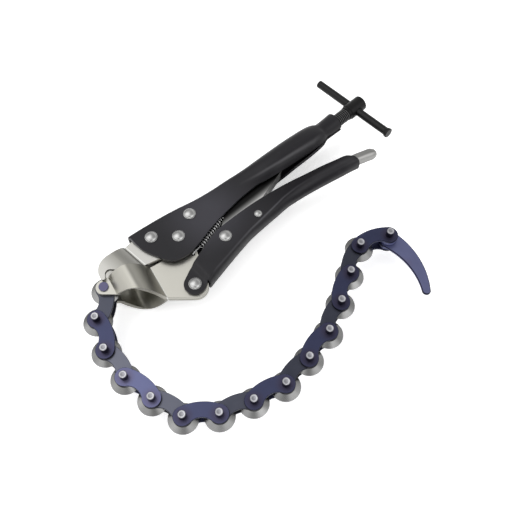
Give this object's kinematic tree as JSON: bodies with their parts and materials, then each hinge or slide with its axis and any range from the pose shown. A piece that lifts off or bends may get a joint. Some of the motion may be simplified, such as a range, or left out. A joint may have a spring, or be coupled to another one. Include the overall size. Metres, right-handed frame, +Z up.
{
  "type": "exhaust pipe cutter",
  "caption": "Locking pliers with an adjusting screw and a hinged chain of cutting wheels that wraps round a pipe and hooks back on the jaw.",
  "frame": {"origin": "centre of the bounding box at the lowest plane, which the tool lies on", "axes": "+Z up from the surface the tool lies on, along all chain pins; +Y the longest way, from the chain towards the screw; +X to the right as pictured"},
  "size_m": [0.2266, 0.2756, 0.0352],
  "materials": {
    "satin_nickel": "satin nickel plate",
    "black_satin_coat": "black satin",
    "black_oxide_steel": "black oxide",
    "blued_steel": "heat blued",
    "ground_steel": "ground",
    "bright_rivet": "bright",
    "spring_steel": "dark oiled"
  },
  "bodies": {
    "plier_body": {"upper_handle": "black_satin_coat", "fixed_jaw_upper": "satin_nickel", "fixed_jaw_lower": "satin_nickel", "jaw_rivet_front": "bright_rivet", "jaw_rivet_rear": "bright_rivet", "pivot_rivet": "bright_rivet"},
    "movable_jaw": {"movable_jaw_upper": "satin_nickel", "movable_jaw_lower": "satin_nickel", "handle_rivet": "bright_rivet", "chain_anchor_pin": "blued_steel", "tension_spring": "spring_steel"},
    "lower_handle": {"lower_handle": "black_satin_coat", "toggle_rivet": "bright_rivet", "release_rivet": "bright_rivet"},
    "toggle_link": {"toggle_link": "satin_nickel"},
    "release_lever": {"release_lever": "satin_nickel"},
    "adjusting_screw": {"adjusting_screw": "black_oxide_steel"},
    "screw_head": {"screw_head": "black_oxide_steel"},
    "tommy_bar": {"tommy_bar": "black_oxide_steel"},
    "inner_link_1": {"inner_link_1": "blued_steel"},
    "cutting_wheel_1": {"cutting_wheel_1": "ground_steel"},
    "outer_link_1": {"outer_link_1": "blued_steel"},
    "cutting_wheel_2": {"cutting_wheel_2": "ground_steel"},
    "inner_link_2": {"inner_link_2": "blued_steel"},
    "cutting_wheel_3": {"cutting_wheel_3": "ground_steel"},
    "outer_link_2": {"outer_link_2": "blued_steel"},
    "cutting_wheel_4": {"cutting_wheel_4": "ground_steel"},
    "inner_link_3": {"inner_link_3": "blued_steel"},
    "cutting_wheel_5": {"cutting_wheel_5": "ground_steel"},
    "outer_link_3": {"outer_link_3": "blued_steel"},
    "cutting_wheel_6": {"cutting_wheel_6": "ground_steel"},
    "inner_link_4": {"inner_link_4": "blued_steel"},
    "cutting_wheel_7": {"cutting_wheel_7": "ground_steel"},
    "outer_link_4": {"outer_link_4": "blued_steel"},
    "cutting_wheel_8": {"cutting_wheel_8": "ground_steel"},
    "inner_link_5": {"inner_link_5": "blued_steel"},
    "cutting_wheel_9": {"cutting_wheel_9": "ground_steel"},
    "outer_link_5": {"outer_link_5": "blued_steel"},
    "cutting_wheel_10": {"cutting_wheel_10": "ground_steel"},
    "inner_link_6": {"inner_link_6": "blued_steel"},
    "cutting_wheel_11": {"cutting_wheel_11": "ground_steel"},
    "outer_link_6": {"outer_link_6": "blued_steel"},
    "cutting_wheel_12": {"cutting_wheel_12": "ground_steel"},
    "inner_link_7": {"inner_link_7": "blued_steel"},
    "cutting_wheel_13": {"cutting_wheel_13": "ground_steel"},
    "outer_link_7": {"outer_link_7": "blued_steel", "spacer_washer_1": "blued_steel", "spacer_washer_2": "blued_steel", "spacer_washer_3": "blued_steel", "spacer_washer_4": "blued_steel"},
    "cutting_wheel_14": {"cutting_wheel_14": "ground_steel"},
    "hook_blade": {"hook_blade": "blued_steel"}
  },
  "joints": [
    {"name": "jaw_pivot", "type": "hinge", "parent": "plier_body", "child": "movable_jaw", "pos_m": [-0.05447, -0.00649, 0.01761], "axis": [0, 0, -1], "range_deg": [-5, 0]},
    {"name": "lower_handle_hinge", "type": "hinge", "parent": "movable_jaw", "child": "lower_handle", "pos_m": [-0.04204, -0.04084, 0.01761], "axis": [0, 0, 1], "range_deg": [-20.1, 0]},
    {"name": "toggle_hinge", "type": "hinge", "parent": "lower_handle", "child": "toggle_link", "pos_m": [-0.02265, -0.00599, 0.01761], "axis": [0, 0, -1], "range_deg": [-26, 0]},
    {"name": "release_lever_hinge", "type": "hinge", "parent": "lower_handle", "child": "release_lever", "pos_m": [-0.00056, 0.01156, 0.01761], "axis": [0, 0, 1], "range_deg": [0, 5]},
    {"name": "screw_travel", "type": "slide", "parent": "plier_body", "child": "adjusting_screw", "axis": [0.7361, 0.6769, 0], "range_m": [0, 0.0076]},
    {"name": "screw_head_turn", "type": "hinge", "parent": "adjusting_screw", "child": "screw_head", "pos_m": [0.06629, 0.10373, 0.01761], "axis": [0.7361, 0.6769, 0], "range_deg": [0, 1800]},
    {"name": "tommy_bar_slide", "type": "slide", "parent": "screw_head", "child": "tommy_bar", "axis": [0.6747, -0.7337, 0.0802], "range_m": [-0.025, 0.025]},
    {"name": "chain_joint_1", "type": "hinge", "parent": "movable_jaw", "child": "inner_link_1", "pos_m": [-0.10107, -0.04446, 0.01761], "axis": [0, 0, 1], "range_deg": [-75, 12]},
    {"name": "wheel_spin_1", "type": "hinge", "parent": "inner_link_1", "child": "cutting_wheel_1", "pos_m": [-0.10107, -0.04446, 0.01761], "axis": [0, 0, 1], "continuous": true},
    {"name": "chain_joint_2", "type": "hinge", "parent": "inner_link_1", "child": "outer_link_1", "pos_m": [-0.10375, -0.06629, 0.01761], "axis": [0, 0, -1], "range_deg": [-8, 75]},
    {"name": "wheel_spin_2", "type": "hinge", "parent": "inner_link_1", "child": "cutting_wheel_2", "pos_m": [-0.10375, -0.06629, 0.01761], "axis": [0, 0, 1], "continuous": true},
    {"name": "chain_joint_3", "type": "hinge", "parent": "outer_link_1", "child": "inner_link_2", "pos_m": [-0.09612, -0.08692, 0.01761], "axis": [0, 0, 1], "range_deg": [-75, 8]},
    {"name": "wheel_spin_3", "type": "hinge", "parent": "inner_link_2", "child": "cutting_wheel_3", "pos_m": [-0.09612, -0.08692, 0.01761], "axis": [0, 0, 1], "continuous": true},
    {"name": "chain_joint_4", "type": "hinge", "parent": "inner_link_2", "child": "outer_link_2", "pos_m": [-0.08249, -0.10419, 0.01761], "axis": [0, 0, -1], "range_deg": [-12, 75]},
    {"name": "wheel_spin_4", "type": "hinge", "parent": "inner_link_2", "child": "cutting_wheel_4", "pos_m": [-0.08249, -0.10419, 0.01761], "axis": [0, 0, 1], "continuous": true},
    {"name": "chain_joint_5", "type": "hinge", "parent": "outer_link_2", "child": "inner_link_3", "pos_m": [-0.06482, -0.11731, 0.01761], "axis": [0, 0, 1], "range_deg": [-75, 12]},
    {"name": "wheel_spin_5", "type": "hinge", "parent": "inner_link_3", "child": "cutting_wheel_5", "pos_m": [-0.06482, -0.11731, 0.01761], "axis": [0, 0, 1], "continuous": true},
    {"name": "chain_joint_6", "type": "hinge", "parent": "inner_link_3", "child": "outer_link_3", "pos_m": [-0.04573, -0.12824, 0.01761], "axis": [0, 0, -1], "range_deg": [-12, 75]},
    {"name": "wheel_spin_6", "type": "hinge", "parent": "inner_link_3", "child": "cutting_wheel_6", "pos_m": [-0.04573, -0.12824, 0.01761], "axis": [0, 0, 1], "continuous": true},
    {"name": "chain_joint_7", "type": "hinge", "parent": "outer_link_3", "child": "inner_link_4", "pos_m": [-0.02378, -0.12678, 0.01761], "axis": [0, 0, 1], "range_deg": [-75, 16]},
    {"name": "wheel_spin_7", "type": "hinge", "parent": "inner_link_4", "child": "cutting_wheel_7", "pos_m": [-0.02378, -0.12678, 0.01761], "axis": [0, 0, 1], "continuous": true},
    {"name": "chain_joint_8", "type": "hinge", "parent": "inner_link_4", "child": "outer_link_4", "pos_m": [-0.0033, -0.11875, 0.01761], "axis": [0, 0, -1], "range_deg": [-20, 75]},
    {"name": "wheel_spin_8", "type": "hinge", "parent": "inner_link_4", "child": "cutting_wheel_8", "pos_m": [-0.0033, -0.11875, 0.01761], "axis": [0, 0, 1], "continuous": true},
    {"name": "chain_joint_9", "type": "hinge", "parent": "outer_link_4", "child": "inner_link_5", "pos_m": [0.01614, -0.10846, 0.01761], "axis": [0, 0, 1], "range_deg": [-75, 28]},
    {"name": "wheel_spin_9", "type": "hinge", "parent": "inner_link_5", "child": "cutting_wheel_9", "pos_m": [0.01614, -0.10846, 0.01761], "axis": [0, 0, 1], "continuous": true},
    {"name": "chain_joint_10", "type": "hinge", "parent": "inner_link_5", "child": "outer_link_5", "pos_m": [0.03092, -0.09216, 0.01761], "axis": [0, 0, -1], "range_deg": [-36, 75]},
    {"name": "wheel_spin_10", "type": "hinge", "parent": "inner_link_5", "child": "cutting_wheel_10", "pos_m": [0.03092, -0.09216, 0.01761], "axis": [0, 0, 1], "continuous": true},
    {"name": "chain_joint_11", "type": "hinge", "parent": "outer_link_5", "child": "inner_link_6", "pos_m": [0.04407, -0.07452, 0.01761], "axis": [0, 0, 1], "range_deg": [-75, 56]},
    {"name": "wheel_spin_11", "type": "hinge", "parent": "inner_link_6", "child": "cutting_wheel_11", "pos_m": [0.04407, -0.07452, 0.01761], "axis": [0, 0, 1], "continuous": true},
    {"name": "chain_joint_12", "type": "hinge", "parent": "inner_link_6", "child": "outer_link_6", "pos_m": [0.05284, -0.05435, 0.01761], "axis": [0, 0, -1], "range_deg": [-75, 75]},
    {"name": "wheel_spin_12", "type": "hinge", "parent": "inner_link_6", "child": "cutting_wheel_12", "pos_m": [0.05284, -0.05435, 0.01761], "axis": [0, 0, 1], "continuous": true},
    {"name": "chain_joint_13", "type": "hinge", "parent": "outer_link_6", "child": "inner_link_7", "pos_m": [0.06015, -0.0336, 0.01761], "axis": [0, 0, 1], "range_deg": [-75, 75]},
    {"name": "wheel_spin_13", "type": "hinge", "parent": "inner_link_7", "child": "cutting_wheel_13", "pos_m": [0.06015, -0.0336, 0.01761], "axis": [0, 0, 1], "continuous": true},
    {"name": "chain_joint_14", "type": "hinge", "parent": "inner_link_7", "child": "outer_link_7", "pos_m": [0.068, -0.01304, 0.01761], "axis": [0, 0, -1], "range_deg": [-75, 55]},
    {"name": "wheel_spin_14", "type": "hinge", "parent": "inner_link_7", "child": "cutting_wheel_14", "pos_m": [0.068, -0.01304, 0.01761], "axis": [0, 0, 1], "continuous": true},
    {"name": "hook_hinge", "type": "hinge", "parent": "outer_link_7", "child": "hook_blade", "pos_m": [0.08844, -0.00491, 0.01761], "axis": [0, 0, 1], "range_deg": [-50, 75]}
  ],
  "couplings": [
    {"joint": "lower_handle_hinge", "follows": "jaw_pivot", "ratio": 4.01},
    {"joint": "toggle_hinge", "follows": "jaw_pivot", "ratio": 5.18},
    {"joint": "screw_travel", "follows": "screw_head_turn", "m_per_rad": 0.00023873}
  ]
}
